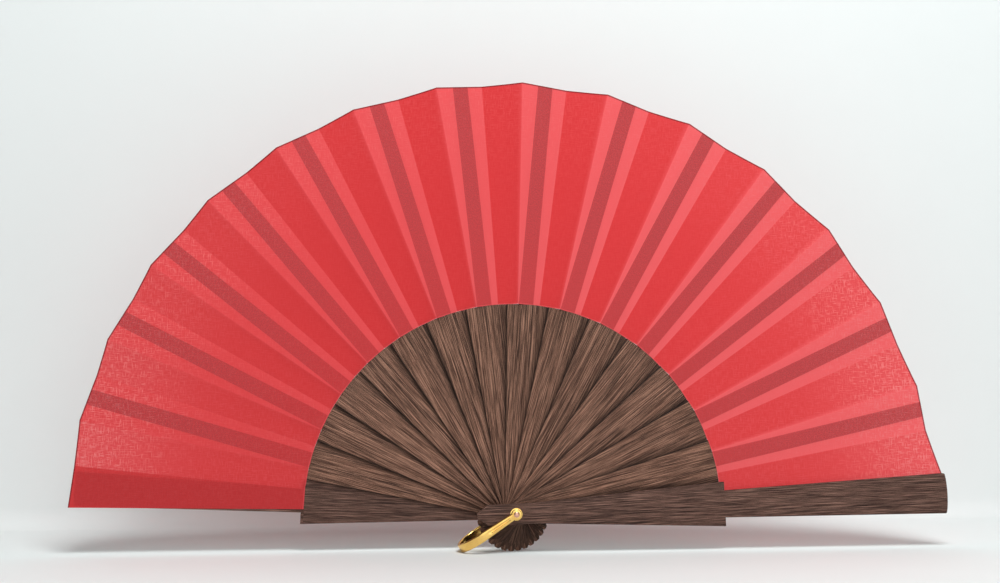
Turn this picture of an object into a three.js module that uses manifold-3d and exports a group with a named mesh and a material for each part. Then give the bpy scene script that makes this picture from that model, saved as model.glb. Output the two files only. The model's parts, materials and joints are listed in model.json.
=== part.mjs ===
// Folding hand fan: two wooden guards and fourteen ribs turn on one rivet, a pleated cotton
// leaf joins them, and a metal carry ring swings on the same rivet.
// Units are millimetres. +Z is up and the pivot axis runs along Y, with the front at -Y.
// The origin is on the surface that the fan stands on, below the middle of the open fan.
import * as THREE from 'three';
import { mergeVertices } from 'three/addons/utils/BufferGeometryUtils.js';
import Module from 'manifold-3d';

const wasm = await Module();
wasm.setup();

// Layout of the sticks: number 0 is the back guard, 1 to 14 the ribs, 15 the front guard.
const RIB_COUNT = 14;
const LAST_STICK = RIB_COUNT + 1;
const PIVOT_HEIGHT = 18.75;
const BACK_GUARD_ANGLE = 176.94;
const FIRST_STEP = 12.31;
const INNER_STEP = 10.95;
const INNER_STEP_GROWTH = 0.111;
const LAST_STEP = 11.6;

// Thickness of the stack, measured along Y.
const STICK_PITCH = 1.1;
const BLADE_THICKNESS = 0.7;
const SLIP_THICKNESS = 0.4;
const CLOTH_THICKNESS = 0.2;
const CLOTH_SETBACK = 0.25;
const SLIP_SETBACK = 0.15;
const GUARD_THICKNESS = 2.5;
const GUARD_FACE = 7.9;
const GUARD_REBATE = 0.3;

// Outline of a stick, measured from the pivot along its length and across it.
const HEAD_LENGTH = 18.728;
const HEAD_END_HALF = 1.0;
const HEAD_HALF = 4.9;
const HEAD_CHAMFER = 5.2;
const NECK_HALF = 4.8;
const NECK_RADIUS = 8;
const BLADE_RADIUS = 101.6;
const BLADE_CORNER_RADIUS = 101;
const RIB_BLADE_HALF = 11.2;
const GUARD_SHOULDER_RADIUS = 103;
const GUARD_SHOULDER_HALF = 10.75;
const GUARD_WAIST_HALF = 6.5;
const GUARD_TIP_HALF = 9.9;
const GUARD_CORNER_RADIUS = 215.2;
const GUARD_TIP_RADIUS = 217.1;
const SLIP_FOOT_RADIUS = 98;
const SLIP_TOP_RADIUS = 211;
const SLIP_HALF = 3.65;
const SLIP_SKEW = 0.017;
const SLIP_FOOT_SHIFT = -1.48;

// The leaf: one cloth, with a panel glued along each stick and a free panel between sticks.
const LEAF_INNER = 102;
const LEAF_OUTER_HIGH = 212.8;
const LEAF_OUTER_LOW = 211.6;
const LEAF_OUTER_FRONT = 215.9;
const PANEL_HALF_ANGLE = 3.07;
const BACK_PANEL = { low: -2.0, high: 3.3 };
const FRONT_PANEL = { low: -2.6, high: 2.6 };
const PLEAT_DEPTH = 3.0;
const END_PLEAT_DEPTH = 0.6;
const CREASE_GAP = 0.15;

// The rivet, its washers and the carry ring.
const ROUND_STEPS = 24;
const RIVET_RADIUS = 1.1;
const HOLE_RADIUS = 1.19;
const RIVET_HEAD_RADIUS = 1.4;
const RIVET_HEAD_INNER = 12.6;
const RIVET_HEAD_OUTER = 13.3;
const WASHER_RADIUS = 3;
const WASHER_INNER = 10.55;
const WASHER_OUTER = 10.85;
const RING_ANGLE = 213;
const RING_LEG_OFFSET = 11.75;
const RING_THICKNESS = 1.5;
const RING_LENGTH = 31.6;
const RING_EYE_RADIUS = 2.5;
const RING_EYE_WIDTH = 3.2;
const RING_BEND_WIDTH = 4.4;
const RING_CHAMFER = 0.65;
const RING_BEND_STEPS = 12;

const radians = THREE.MathUtils.degToRad;

// Materials, one function for each finish.
function darkWood() {
  return new THREE.MeshStandardMaterial({ color: 0x4a372d, roughness: 0.55, metalness: 0 });
}

function redCotton() {
  return new THREE.MeshStandardMaterial({ color: 0xd83f45, roughness: 0.9, metalness: 0 });
}

function gildedBrass() {
  return new THREE.MeshStandardMaterial({ color: 0xe8b24a, roughness: 0.25, metalness: 1 });
}

function copper() {
  return new THREE.MeshStandardMaterial({ color: 0xc77a58, roughness: 0.35, metalness: 1 });
}

// Angle of a stick in the open fan, in degrees from +X towards +Z.
function stickAngle(stick) {
  let angle = BACK_GUARD_ANGLE;
  for (let step = 1; step <= stick; step += 1) {
    angle -= stepBefore(step);
  }
  return angle;
}

// Angle between a stick and the one behind it in the open fan.
function stepBefore(stick) {
  if (stick === 1) return FIRST_STEP;
  if (stick === LAST_STICK) return LAST_STEP;
  return INNER_STEP + INNER_STEP_GROWTH * (stick - 2);
}

// Middle of a rib's thickness along Y: sticks nearer the front guard lie further forward.
function stickDepth(stick) {
  return (LAST_STICK / 2 - stick) * STICK_PITCH;
}

// Tilt of the pleats at a stick, as rise along Y for each millimetre across. It fades towards
// the guards, so that the closed fan packs flat between them.
function pleatSlope(stick) {
  const fromGuard = Math.min(stick - 1, RIB_COUNT - stick);
  const depth = Math.min(PLEAT_DEPTH, END_PLEAT_DEPTH + fromGuard + (stick < LAST_STICK / 2 ? 1 : 0));
  return depth / (2 * LEAF_OUTER_LOW * Math.sin(radians(PANEL_HALF_ANGLE)));
}

// A closed solid through matching loops of points, with flat ends. The loops are convex.
function solidThrough(loops) {
  const count = loops[0].length;
  const last = (loops.length - 1) * count;
  const index = [];
  for (let loop = 0; loop < loops.length - 1; loop += 1) {
    for (let i = 0; i < count; i += 1) {
      const a = loop * count + i;
      const b = loop * count + ((i + 1) % count);
      index.push(a, b, b + count, a, b + count, a + count);
    }
  }
  for (let i = 1; i < count - 1; i += 1) {
    index.push(0, i + 1, i);
    index.push(last, last + i, last + i + 1);
  }
  const geometry = new THREE.BufferGeometry();
  const points = loops.flat().flatMap((point) => [point.x, point.y, point.z]);
  geometry.setAttribute('position', new THREE.Float32BufferAttribute(points, 3));
  geometry.setIndex(volumeOf(geometry, index) < 0 ? index.reverse() : index);
  return geometry;
}

// Signed volume inside a triangle list: negative when its faces point inwards.
function volumeOf(geometry, index) {
  const position = geometry.getAttribute('position');
  const corners = [new THREE.Vector3(), new THREE.Vector3(), new THREE.Vector3()];
  let volume = 0;
  for (let i = 0; i < index.length; i += 3) {
    corners.forEach((corner, n) => corner.fromBufferAttribute(position, index[i + n]));
    volume += corners[0].dot(corners[1].clone().cross(corners[2])) / 6;
  }
  return volume;
}

// A solid of manifold-3d from a closed geometry.
function toManifold(geometry) {
  const bare = geometry.clone();
  bare.deleteAttribute('normal');
  bare.deleteAttribute('uv');
  const merged = mergeVertices(bare);
  return new wasm.Manifold(new wasm.Mesh({
    numProp: 3,
    vertProperties: merged.getAttribute('position').array,
    triVerts: new Uint32Array(merged.getIndex().array),
  }));
}

// A geometry from a solid of manifold-3d.
function toGeometry(solid) {
  const mesh = solid.getMesh();
  const geometry = new THREE.BufferGeometry();
  geometry.setAttribute('position', new THREE.BufferAttribute(mesh.vertProperties, 3));
  geometry.setIndex(new THREE.BufferAttribute(mesh.triVerts, 1));
  return geometry;
}

// A named mesh with shading normals.
function piece(name, geometry, material) {
  geometry.computeVertexNormals();
  const mesh = new THREE.Mesh(geometry, material);
  mesh.name = name;
  return mesh;
}

// A flat outline drawn with x across and y along the stick, made into a plate between two
// places along Y, with the stick's length along Z.
function plateFrom(shape, nearY, farY) {
  const geometry = new THREE.ExtrudeGeometry(shape, {
    depth: farY - nearY,
    bevelEnabled: false,
    curveSegments: ROUND_STEPS / 2,
  });
  geometry.rotateX(Math.PI / 2);
  geometry.translate(0, farY, 0);
  return geometry;
}

// Starts a stick's outline at the right of its neck and ends it at the left: the head only.
function drawHead(shape) {
  shape.lineTo(-NECK_HALF, NECK_RADIUS);
  shape.lineTo(-HEAD_HALF, HEAD_CHAMFER - HEAD_LENGTH);
  shape.lineTo(-HEAD_END_HALF, -HEAD_LENGTH);
  shape.lineTo(HEAD_END_HALF, -HEAD_LENGTH);
  shape.lineTo(HEAD_HALF, HEAD_CHAMFER - HEAD_LENGTH);
  shape.lineTo(NECK_HALF, NECK_RADIUS);
  shape.closePath();
  const hole = new THREE.Path();
  hole.absarc(0, 0, HOLE_RADIUS, 0, 2 * Math.PI, true);
  shape.holes.push(hole);
}

function guardOutline() {
  const shape = new THREE.Shape();
  shape.moveTo(GUARD_SHOULDER_HALF, GUARD_SHOULDER_RADIUS);
  shape.lineTo(GUARD_WAIST_HALF, GUARD_SHOULDER_RADIUS);
  shape.lineTo(GUARD_TIP_HALF, GUARD_CORNER_RADIUS);
  shape.quadraticCurveTo(GUARD_TIP_HALF, GUARD_TIP_RADIUS - 1, GUARD_TIP_HALF - 2, GUARD_TIP_RADIUS - 0.5);
  shape.quadraticCurveTo(0, GUARD_TIP_RADIUS + 0.5, 2 - GUARD_TIP_HALF, GUARD_TIP_RADIUS - 0.5);
  shape.quadraticCurveTo(-GUARD_TIP_HALF, GUARD_TIP_RADIUS - 1, -GUARD_TIP_HALF, GUARD_CORNER_RADIUS);
  shape.lineTo(-GUARD_WAIST_HALF, GUARD_SHOULDER_RADIUS);
  shape.lineTo(-GUARD_SHOULDER_HALF, GUARD_SHOULDER_RADIUS);
  drawHead(shape);
  return shape;
}

function bladeOutline() {
  const shape = new THREE.Shape();
  const crown = 2 * BLADE_RADIUS - BLADE_CORNER_RADIUS;
  shape.moveTo(RIB_BLADE_HALF, BLADE_CORNER_RADIUS);
  shape.quadraticCurveTo(0, crown, -RIB_BLADE_HALF, BLADE_CORNER_RADIUS);
  drawHead(shape);
  return shape;
}

// A guard: side is +1 for the back guard and -1 for the front one. The rebate on its inner
// face takes the glued cloth.
function guard(side) {
  const near = side > 0 ? GUARD_FACE : -GUARD_FACE - GUARD_THICKNESS;
  const plate = toManifold(plateFrom(guardOutline(), near, near + GUARD_THICKNESS));
  const length = GUARD_TIP_RADIUS + 5 - BLADE_RADIUS;
  const rebate = new THREE.BoxGeometry(3 * GUARD_TIP_HALF, 2 * GUARD_REBATE, length);
  rebate.translate(0, side * GUARD_FACE, BLADE_RADIUS + length / 2);
  return toGeometry(plate.subtract(toManifold(rebate)));
}

// Section across a rib's thin slip, at one distance from the pivot.
function slipSection(radius, depth, slope) {
  const middle = SLIP_FOOT_SHIFT + SLIP_SKEW * (radius - SLIP_FOOT_RADIUS);
  const front = depth + SLIP_SETBACK - SLIP_THICKNESS / 2;
  const back = front + SLIP_THICKNESS;
  const corner = (x, y) => new THREE.Vector3(x, y + slope * x, radius);
  const left = middle - SLIP_HALF;
  const right = middle + SLIP_HALF;
  return [corner(left, front), corner(right, front), corner(right, back), corner(left, back)];
}

// A rib: a broad blade on the rivet, and a thin slip that carries the cloth.
function rib(stick) {
  const depth = stickDepth(stick);
  const slope = pleatSlope(stick);
  const half = BLADE_THICKNESS / 2;
  const blade = toManifold(plateFrom(bladeOutline(), depth - half, depth + half));
  const slip = toManifold(solidThrough([
    slipSection(SLIP_FOOT_RADIUS, depth, 0),
    slipSection(LEAF_INNER, depth, slope),
    slipSection(SLIP_TOP_RADIUS, depth, slope),
  ]));
  return toGeometry(blade.add(slip));
}

// The crease of a glued panel, as its angle from the stick's middle and its place along Y at
// the inner and outer edges. Side -1 is the crease towards the back guard.
function crease(stick, side) {
  if (stick === 0) {
    const place = GUARD_FACE + CLOTH_THICKNESS / 2;
    return { turn: side < 0 ? BACK_PANEL.low : BACK_PANEL.high, inner: place, outer: place };
  }
  if (stick === LAST_STICK) {
    const place = -GUARD_FACE - CLOTH_THICKNESS / 2;
    return { turn: side < 0 ? FRONT_PANEL.low : FRONT_PANEL.high, inner: place, outer: place };
  }
  const turn = side * PANEL_HALF_ANGLE;
  const rise = pleatSlope(stick) * Math.sin(radians(turn));
  const middle = stickDepth(stick) - CLOTH_SETBACK;
  return { turn, inner: middle + rise * LEAF_INNER, outer: middle + rise * LEAF_OUTER_LOW };
}

// A cloth panel between two edges. Each edge has its direction, in degrees from +X towards +Z,
// its places along Y and its outer radius.
function clothPanel(edges) {
  const loop = (offset) => {
    const point = (edge, radius, y) => new THREE.Vector3(
      radius * Math.cos(radians(edge.angle)),
      y + offset,
      radius * Math.sin(radians(edge.angle)),
    );
    const [first, second] = edges;
    return [
      point(first, LEAF_INNER, first.inner),
      point(first, first.radius, first.outer),
      point(second, second.radius, second.outer),
      point(second, LEAF_INNER, second.inner),
    ];
  };
  return solidThrough([loop(-CLOTH_THICKNESS / 2), loop(CLOTH_THICKNESS / 2)]);
}

// Outer radius of the leaf at a glued panel's crease. Side -1 is the crease towards the back
// guard.
function outerRadius(stick, side) {
  if (stick === LAST_STICK) {
    return LEAF_OUTER_FRONT;
  }
  return side < 0 ? LEAF_OUTER_HIGH : LEAF_OUTER_LOW;
}

function gluedPanel(stick) {
  const low = crease(stick, -1);
  const high = crease(stick, 1);
  const angle = stickAngle(stick);
  return clothPanel([
    { ...low, angle: angle - low.turn, radius: outerRadius(stick, -1) },
    { ...high, angle: angle - high.turn, radius: outerRadius(stick, 1) },
  ]);
}

// The free panel between a stick and the one behind it.
function freePanel(stick) {
  const behind = crease(stick - 1, 1);
  const ahead = crease(stick, -1);
  const start = stickAngle(stick - 1) - behind.turn - CREASE_GAP;
  const end = stickAngle(stick) - ahead.turn + CREASE_GAP;
  return clothPanel([
    { ...behind, angle: start, radius: outerRadius(stick - 1, 1) },
    { ...ahead, angle: end, radius: outerRadius(stick, -1) },
  ]);
}

// A round piece about the Y axis from its profile of [radius, y] points.
function turned(profile) {
  const points = profile.map(([radius, y]) => new THREE.Vector2(radius, y));
  return mergeVertices(new THREE.LatheGeometry(points, ROUND_STEPS));
}

function rivet() {
  const dome = (RIVET_HEAD_OUTER + RIVET_HEAD_INNER) / 2;
  return turned([
    [0, -RIVET_HEAD_OUTER],
    [RIVET_HEAD_RADIUS * 0.7, -RIVET_HEAD_OUTER],
    [RIVET_HEAD_RADIUS, -dome],
    [RIVET_HEAD_RADIUS, -RIVET_HEAD_INNER],
    [RIVET_RADIUS, -RIVET_HEAD_INNER],
    [RIVET_RADIUS, RIVET_HEAD_INNER],
    [RIVET_HEAD_RADIUS, RIVET_HEAD_INNER],
    [RIVET_HEAD_RADIUS, dome],
    [RIVET_HEAD_RADIUS * 0.7, RIVET_HEAD_OUTER],
    [0, RIVET_HEAD_OUTER],
  ]);
}

// A washer between a guard and an eye of the ring: side +1 is the back one.
function washer(side) {
  const near = Math.min(side * WASHER_INNER, side * WASHER_OUTER);
  const far = Math.max(side * WASHER_INNER, side * WASHER_OUTER);
  return turned([
    [HOLE_RADIUS, near],
    [WASHER_RADIUS, near],
    [WASHER_RADIUS, far],
    [HOLE_RADIUS, far],
    [HOLE_RADIUS, near],
  ]);
}

// Section of the ring's flat band: centre on the band's path, normal pointing out of the loop.
function bandSection(centre, normal, width) {
  const half = width / 2;
  const inset = half - RING_CHAMFER;
  const face = RING_THICKNESS / 2;
  const edge = face - RING_CHAMFER;
  const outline = [
    [-inset, face], [inset, face], [half, edge], [half, -edge],
    [inset, -face], [-inset, -face], [-half, -edge], [-half, edge],
  ];
  return outline.map(([x, out]) => new THREE.Vector3(x, 0, 0)
    .add(centre)
    .addScaledVector(normal, out));
}

// The carry ring, a U of flat band with an eye at each end, drawn with the bend towards +Z.
function carryRing() {
  const bendStart = RING_LENGTH - RING_THICKNESS / 2 - RING_LEG_OFFSET;
  const sections = [];
  const addLegEnd = (side) => {
    const centre = new THREE.Vector3(0, side * RING_LEG_OFFSET, 0);
    sections.push(bandSection(centre, new THREE.Vector3(0, side, 0), RING_EYE_WIDTH));
  };
  addLegEnd(-1);
  for (let step = 0; step <= RING_BEND_STEPS; step += 1) {
    const turn = Math.PI * (step / RING_BEND_STEPS - 0.5);
    const normal = new THREE.Vector3(0, Math.sin(turn), Math.cos(turn));
    const centre = normal.clone().multiplyScalar(RING_LEG_OFFSET);
    centre.z += bendStart;
    sections.push(bandSection(centre, normal, RING_BEND_WIDTH));
  }
  addLegEnd(1);
  let solid = toManifold(solidThrough(sections));
  for (const side of [-1, 1]) {
    const eye = new THREE.CylinderGeometry(RING_EYE_RADIUS, RING_EYE_RADIUS, RING_THICKNESS, ROUND_STEPS);
    eye.translate(0, side * RING_LEG_OFFSET, 0);
    const bore = new THREE.CylinderGeometry(HOLE_RADIUS, HOLE_RADIUS, 2 * RING_THICKNESS, ROUND_STEPS);
    bore.translate(0, side * RING_LEG_OFFSET, 0);
    solid = solid.add(toManifold(eye)).subtract(toManifold(bore));
  }
  return toGeometry(solid);
}

// Turns a mesh drawn along +Z to a direction in degrees from +X towards +Z.
function aim(mesh, angle) {
  mesh.rotation.y = Math.PI / 2 - radians(angle);
  return mesh;
}

const twoDigits = (number) => String(number).padStart(2, '0');

const fan = new THREE.Group();
fan.position.z = PIVOT_HEIGHT;

fan.add(aim(piece('guard_back', guard(1), darkWood()), stickAngle(0)));
for (let stick = 1; stick <= RIB_COUNT; stick += 1) {
  fan.add(aim(piece(`rib_${twoDigits(stick)}`, rib(stick), darkWood()), stickAngle(stick)));
}
fan.add(aim(piece('guard_front', guard(-1), darkWood()), stickAngle(LAST_STICK)));

for (let stick = 0; stick <= LAST_STICK; stick += 1) {
  fan.add(piece(`leaf_glued_${twoDigits(stick)}`, gluedPanel(stick), redCotton()));
}
for (let stick = 1; stick <= LAST_STICK; stick += 1) {
  fan.add(piece(`leaf_free_${twoDigits(stick)}`, freePanel(stick), redCotton()));
}

fan.add(piece('pivot_rivet', rivet(), copper()));
fan.add(piece('washer_back', washer(1), gildedBrass()));
fan.add(piece('washer_front', washer(-1), gildedBrass()));
fan.add(aim(piece('carry_ring', carryRing(), gildedBrass()), RING_ANGLE));

const group = new THREE.Group();
group.add(fan);

export default group;
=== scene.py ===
"""Folding hand fan standing open: two wooden guards and fourteen ribs on one rivet, a pleated
cotton leaf glued along them, and a gilded carry ring that swings on the same rivet.

Lengths are in metres and angles in degrees, unless a name says otherwise."""

from __future__ import annotations

import json
import logging
import math
from dataclasses import dataclass
from enum import Enum
from typing import Callable, Iterable, Sequence, Union

import bmesh
import bpy
from mathutils import Matrix, Vector


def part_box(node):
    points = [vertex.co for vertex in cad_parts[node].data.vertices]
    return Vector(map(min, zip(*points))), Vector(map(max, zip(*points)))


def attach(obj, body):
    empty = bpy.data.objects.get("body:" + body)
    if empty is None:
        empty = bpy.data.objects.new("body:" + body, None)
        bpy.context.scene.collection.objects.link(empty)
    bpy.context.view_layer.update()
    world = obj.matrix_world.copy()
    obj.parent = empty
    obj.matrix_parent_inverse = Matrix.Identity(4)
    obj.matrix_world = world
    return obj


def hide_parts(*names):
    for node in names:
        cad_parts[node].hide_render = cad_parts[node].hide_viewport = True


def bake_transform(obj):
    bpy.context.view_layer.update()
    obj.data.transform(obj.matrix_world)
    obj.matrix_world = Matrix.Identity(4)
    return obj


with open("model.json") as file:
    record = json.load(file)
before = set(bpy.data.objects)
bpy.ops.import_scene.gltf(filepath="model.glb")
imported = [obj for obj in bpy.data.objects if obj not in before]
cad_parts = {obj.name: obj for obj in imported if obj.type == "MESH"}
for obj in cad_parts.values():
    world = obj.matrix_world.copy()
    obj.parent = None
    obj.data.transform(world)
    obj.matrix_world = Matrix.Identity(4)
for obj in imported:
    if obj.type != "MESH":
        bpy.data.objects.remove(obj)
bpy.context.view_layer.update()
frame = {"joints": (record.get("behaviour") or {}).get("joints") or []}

LOG = logging.getLogger("hand_fan")
MM = 0.001
RIB_COUNT = 14
LAST_STICK = RIB_COUNT + 1
HOLE_STEPS = 32
METAL_STEPS = 40
RIVET_STEPS = 36
BORE_REACH = 14 * MM
PLUG_REACH = 15 * MM
RIB_KEPT_EDGE = 40
GUARD_KEPT_EDGE = 30
HARDWARE_KEPT_EDGE = 35
RING_KEPT_EDGE = 32

Colour = tuple[float, float, float]
Feed = Union[float, Sequence[float], bpy.types.NodeSocket]


class Slot(Enum):
    """Material slots of the record."""

    WOOD = "dark_wood"
    COTTON = "red_cotton"
    GILT = "gilded_metal"
    COPPER = "copper_rivet"


class Side(Enum):
    """The two faces of the fan, with the sign of their place along Y."""

    FRONT = -1
    BACK = 1


def smooth(low: float, high: float, value: float) -> float:
    """Rises smoothly from 0 at low to 1 at high.

    Args:
        low: Value at which the rise starts.
        high: Value at which it ends.
        value: The value to place between them.

    Returns:
        A number from 0 to 1.
    """
    t = min(1.0, max(0.0, (value - low) / (high - low)))
    return t * t * (3.0 - 2.0 * t)


def between(stops: Sequence[tuple[float, float]], at: float) -> float:
    """Reads a broken line.

    Args:
        stops: Corners of the line as (place, value), in rising order.
        at: Place to read.

    Returns:
        The line's value there, held level beyond its ends.
    """
    if at <= stops[0][0]:
        return stops[0][1]
    for (a, low), (b, high) in zip(stops, stops[1:]):
        if at <= b:
            return low + (high - low) * (at - a) / (b - a)
    return stops[-1][1]


def lerp(a: Vector, b: Vector, share: float) -> Vector:
    """Point at a share of the way from a to b."""
    return a + (b - a) * share


# ---------------------------------------------------------------------------------------------
# Where the sticks stand
# ---------------------------------------------------------------------------------------------


@dataclass(frozen=True)
class FanLayout:
    """Where every stick stands in the open fan: 0 is the back guard, 15 the front one."""

    back_guard_angle: float = 176.94
    pitch: float = 1.1 * MM
    leaf_low: float = 211.6 * MM
    panel_turn: float = 3.07
    pleat_depth: float = 3.0 * MM
    end_pleat_depth: float = 0.6 * MM

    def pivot(self) -> Vector:
        """Middle of the rivet, from its box in the frame."""
        low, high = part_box("pivot_rivet")
        return (Vector(low) + Vector(high)) / 2

    def angle(self, stick: int) -> float:
        """Direction of a stick.

        Args:
            stick: Number of the stick, from 0 at the back guard.

        Returns:
            Degrees from +X towards +Z.
        """
        steps = {j["name"]: j["range_deg"][1] for j in frame["joints"] if j["name"] != "ring_swing"}
        return self.back_guard_angle - sum(steps[f"fold_{k:02d}"] for k in range(1, stick + 1))

    def depth(self, stick: int) -> float:
        """Middle of a rib's thickness along Y."""
        return (LAST_STICK / 2 - stick) * self.pitch

    def slope(self, stick: int) -> float:
        """Tilt of the pleat at a stick.

        Args:
            stick: Number of the stick.

        Returns:
            Rise along Y for each metre across the stick. It fades towards the guards.
        """
        if stick in (0, LAST_STICK):
            return 0.0
        from_guard = min(stick - 1, RIB_COUNT - stick) + (1 if stick < LAST_STICK / 2 else 0)
        depth = min(self.pleat_depth, self.end_pleat_depth + from_guard * MM)
        return depth / (2 * self.leaf_low * math.sin(math.radians(self.panel_turn)))

    def body(self, stick: int) -> str:
        """Name of the body that a stick belongs to."""
        if stick == 0:
            return "back_guard_body"
        return "front_guard_body" if stick == LAST_STICK else f"rib_body_{stick:02d}"

    def node(self, stick: int) -> str:
        """Name of the CAD node of a stick."""
        if stick == 0:
            return "guard_back"
        return "guard_front" if stick == LAST_STICK else f"rib_{stick:02d}"

    def placing(self, direction: float) -> Matrix:
        """Turns a piece drawn along +Z, with x across, to a direction from the pivot.

        Args:
            direction: Degrees from +X towards +Z.

        Returns:
            The matrix from the piece's own axes to the frame.
        """
        turn = Matrix.Rotation(math.radians(90.0 - direction), 4, "Y")
        return Matrix.Translation(self.pivot()) @ turn


# ---------------------------------------------------------------------------------------------
# Mesh drafting
# ---------------------------------------------------------------------------------------------


class MeshDraft:
    """Points, faces and point values of one mesh while it is being made."""

    def __init__(self) -> None:
        """Starts with nothing."""
        self.points: list[Vector] = []
        self.faces: list[tuple[int, ...]] = []

    def row(self, points: Iterable[Vector]) -> list[int]:
        """Adds points.

        Args:
            points: The points, in order.

        Returns:
            Their numbers in the mesh.
        """
        start = len(self.points)
        self.points.extend(points)
        return list(range(start, len(self.points)))

    def sheet(self, rows: Sequence[Sequence[int]], closed: bool) -> None:
        """Joins neighbouring rows with four-sided faces.

        Args:
            rows: Rows of point numbers, all of one length.
            closed: Whether each row runs back to its start.
        """
        for low, high in zip(rows, rows[1:]):
            count = len(low)
            for i in range(count if closed else count - 1):
                j = (i + 1) % count
                self.faces.append((low[i], low[j], high[j], high[i]))

    def tube(self, loops: Sequence[Sequence[Vector]]) -> None:
        """Adds a closed solid through loops of points, with flat ends.

        Args:
            loops: Loops of points, all of one length.
        """
        rows = [self.row(loop) for loop in loops]
        self.sheet(rows, closed=True)
        self.faces.append(tuple(reversed(rows[0])))
        self.faces.append(tuple(rows[-1]))

    def mesh(self, name: str, solid: bool = True) -> bpy.types.Mesh:
        """Makes the mesh.

        Args:
            name: Name of the mesh.
            solid: Whether its faces close a space and should point out of it.

        Returns:
            The mesh.
        """
        made = bpy.data.meshes.new(name)
        made.from_pydata([tuple(p) for p in self.points], [], self.faces)
        if solid:
            work = bmesh.new()
            work.from_mesh(made)
            bmesh.ops.remove_doubles(work, verts=work.verts, dist=1e-7)
            bmesh.ops.recalc_face_normals(work, faces=work.faces)
            work.to_mesh(made)
            work.free()
        made.update()
        return made


def show(name: str, mesh: bpy.types.Mesh) -> bpy.types.Object:
    """Puts a mesh into the scene.

    Args:
        name: Name of the new object.
        mesh: Its mesh.

    Returns:
        The object, at the origin.
    """
    made = bpy.data.objects.new(name, mesh)
    bpy.context.scene.collection.objects.link(made)
    return made


def joined(name: str, base: bpy.types.Mesh, steps: Sequence[tuple[str, bpy.types.Mesh]]) -> bpy.types.Mesh:
    """Adds meshes to one mesh, or cuts them out of it.

    Args:
        name: Name of the result.
        base: The closed mesh to start from.
        steps: Pairs of UNION or DIFFERENCE with a closed mesh.

    Returns:
        The resulting mesh.
    """
    host = show(name, base)
    tools = [show(f"{name}_tool", tool) for _, tool in steps]
    for (operation, _), tool in zip(steps, tools):
        change = host.modifiers.new(operation.lower(), "BOOLEAN")
        change.operation = operation
        change.solver = "EXACT"
        change.object = tool
    graph = bpy.context.evaluated_depsgraph_get()
    result = bpy.data.meshes.new_from_object(host.evaluated_get(graph))
    result.name = name
    for gone in [host, *tools]:
        bpy.data.objects.remove(gone)
    return result


def keep_edges(mesh: bpy.types.Mesh, degrees: float) -> None:
    """Shades a mesh smooth, but keeps its edges above an angle.

    Args:
        mesh: The mesh.
        degrees: Smallest angle between two faces that stays an edge.
    """
    mesh.shade_smooth()
    mesh.set_sharp_from_angle(angle=math.radians(degrees))


def point_value(mesh: bpy.types.Mesh, name: str, values: Sequence[float]) -> None:
    """Stores one number at each point of a mesh, for its material.

    Args:
        mesh: The mesh.
        name: Name that the material reads.
        values: One number for each point.
    """
    mesh.attributes.new(name, "FLOAT", "POINT").data.foreach_set("value", list(values))


def point_place(mesh: bpy.types.Mesh, name: str, places: Sequence[Vector]) -> None:
    """Stores one vector at each point of a mesh, for its material.

    Args:
        mesh: The mesh.
        name: Name that the material reads.
        places: One vector for each point.
    """
    flat = [number for place in places for number in place]
    mesh.attributes.new(name, "FLOAT_VECTOR", "POINT").data.foreach_set("vector", flat)


def circle(radius: float, y: float, steps: int) -> list[Vector]:
    """Points round the Y axis at a place along it."""
    spin = [2 * math.pi * i / steps for i in range(steps)]
    return [Vector((radius * math.cos(a), y, radius * math.sin(a))) for a in spin]


def turned(profile: Sequence[tuple[float, float]], steps: int, closed: bool) -> MeshDraft:
    """Turns a profile round the Y axis.

    Args:
        profile: Points as (radius, place along Y).
        steps: Number of flats round the axis.
        closed: Whether the profile is a closed line, as on a washer.

    Returns:
        The drafted mesh.
    """
    draft = MeshDraft()
    lines = [*profile, profile[0]] if closed else list(profile)
    rows = [draft.row(circle(radius, y, steps)) for radius, y in lines]
    draft.sheet(rows, closed=True)
    return draft


# ---------------------------------------------------------------------------------------------
# Shader helpers and shared effects
# ---------------------------------------------------------------------------------------------


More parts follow.
